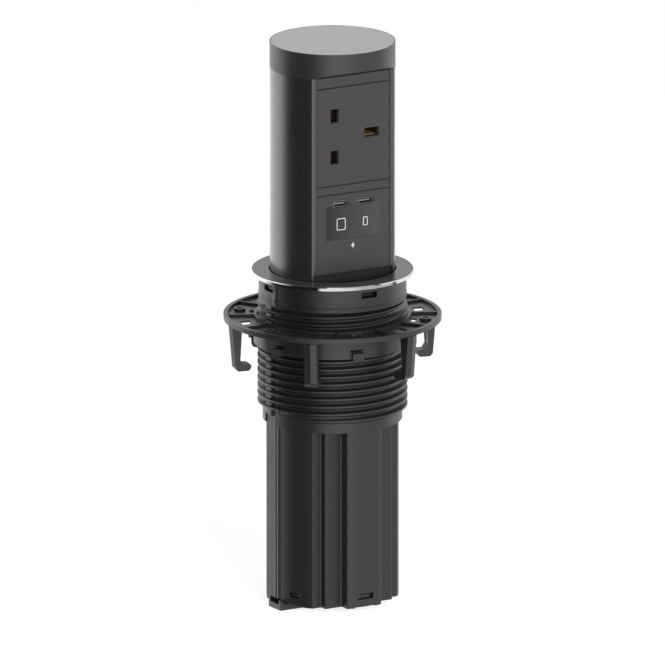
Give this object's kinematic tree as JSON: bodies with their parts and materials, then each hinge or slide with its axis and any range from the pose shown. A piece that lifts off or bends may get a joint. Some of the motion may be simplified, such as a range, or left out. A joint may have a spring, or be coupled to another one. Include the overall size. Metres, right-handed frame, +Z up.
{
  "type": "pop up desk socket",
  "caption": "Round pop up desk socket: a sprung tower with a three pin socket and charging ports rises through a bezel clamped in a worktop hole.",
  "frame": {"origin": "on the tower's axis at the worktop's surface, where the bezel's underside seats", "axes": "+Z up out of the worktop, -Y the way the socket face looks, +X to the right of somebody facing it"},
  "size_m": [0.1138, 0.1138, 0.3008],
  "materials": {
    "bezel": "satin black with a polished metal edge",
    "gasket": "soft foam rubber",
    "collar": "moulded, fine matt grain",
    "guide": "slippery moulded plastic",
    "barrel": "moulded, fine matt grain",
    "end_cap": "moulded, fine matt grain",
    "inner_plastic": "moulded, plain",
    "white_plastic": "natural acetal",
    "screws": "zinc plated",
    "spring_steel": "bright spring steel",
    "clamp": "moulded, fine matt grain",
    "tower": "black anodised, semi gloss",
    "cap": "black anodised, fine satin",
    "disc": "straight brushed",
    "face": "fine matt grain",
    "lower_face": "fine matt grain",
    "contacts": "plain",
    "window": "polished, dark",
    "port_shell": "plain stamped steel",
    "board": "circuit board",
    "damper": "moulded, oil filled",
    "shutter": "moulded, dark red",
    "reel": "wound spring strip"
  },
  "bodies": {
    "mount": {"bezel_ring": "bezel", "bezel_gasket": "gasket", "threaded_collar": "collar", "guide_ring": "guide", "barrel_front_shell": "barrel", "barrel_rear_shell": "barrel", "end_cap": "end_cap", "cable_clamp": "inner_plastic", "cable_clamp_screws": "screws", "damper_rack": "white_plastic", "latch_case": "inner_plastic", "latch_spring": "spring_steel", "latch_screws": "screws", "spring_strip_left": "spring_steel", "spring_strip_right": "spring_steel"},
    "clamp_ring": {"clamp_ring": "clamp"},
    "tower": {"tower_profile": "tower", "cap_ring": "cap", "top_disc": "disc", "cap_screws": "screws", "top_blank": "face", "socket_plate": "face", "socket_base": "inner_plastic", "shutter_spring": "spring_steel", "contact_neutral": "contacts", "contact_line": "contacts", "contact_earth": "contacts", "middle_blank": "face", "usb_plate": "face", "usb_window": "window", "usb_port_left": "port_shell", "usb_port_right": "port_shell", "usb_board": "board", "lower_blank": "lower_face", "tower_foot": "inner_plastic", "foot_screws": "screws", "striker": "white_plastic", "damper_body": "damper", "reel_pins": "spring_steel"},
    "shutter": {"socket_shutter": "shutter"},
    "pinion": {"damper_pinion": "white_plastic"},
    "reel_left": {"reel_left": "reel"},
    "reel_right": {"reel_right": "reel"},
    "latch_plunger": {"latch_plunger": "white_plastic"}
  },
  "joints": [
    {"name": "tower_slide", "type": "slide", "parent": "mount", "child": "tower", "axis": [0, 0, 1], "range_m": [-0.122, 0], "stiffness_N_per_m": 20, "springref_m": 0.5, "deforming": ["spring_strip_left", "spring_strip_right"]},
    {"name": "clamp_ring_slide", "type": "slide", "parent": "mount", "child": "clamp_ring", "axis": [0, 0, 1], "range_m": [-0.034, 0.018]},
    {"name": "shutter_slide", "type": "slide", "parent": "tower", "child": "shutter", "axis": [-1, 0, 0], "range_m": [0, 0.0055], "stiffness_N_per_m": 120, "springref_m": -0.003},
    {"name": "damper_spin", "type": "hinge", "parent": "tower", "child": "pinion", "pos_m": [0, -0.0293, -0.026], "axis": [0, 1, 0], "range_deg": [0, 1400]},
    {"name": "reel_left_spin", "type": "hinge", "parent": "tower", "child": "reel_left", "pos_m": [-0.014, -0.0194, -0.026], "axis": [1, 0, 0], "range_deg": [-1350, 0]},
    {"name": "reel_right_spin", "type": "hinge", "parent": "tower", "child": "reel_right", "pos_m": [0.014, -0.0194, -0.026], "axis": [1, 0, 0], "range_deg": [-1350, 0]},
    {"name": "latch_plunger_slide", "type": "slide", "parent": "mount", "child": "latch_plunger", "axis": [0, 0, 1], "range_m": [-0.0032, 0], "stiffness_N_per_m": 300, "springref_m": 0.003, "deforming": ["latch_spring"]}
  ],
  "couplings": [
    {"joint": "damper_spin", "follows": "tower_slide", "rad_per_m": -200},
    {"joint": "reel_left_spin", "follows": "tower_slide", "rad_per_m": 192.31},
    {"joint": "reel_right_spin", "follows": "tower_slide", "rad_per_m": 192.31}
  ]
}
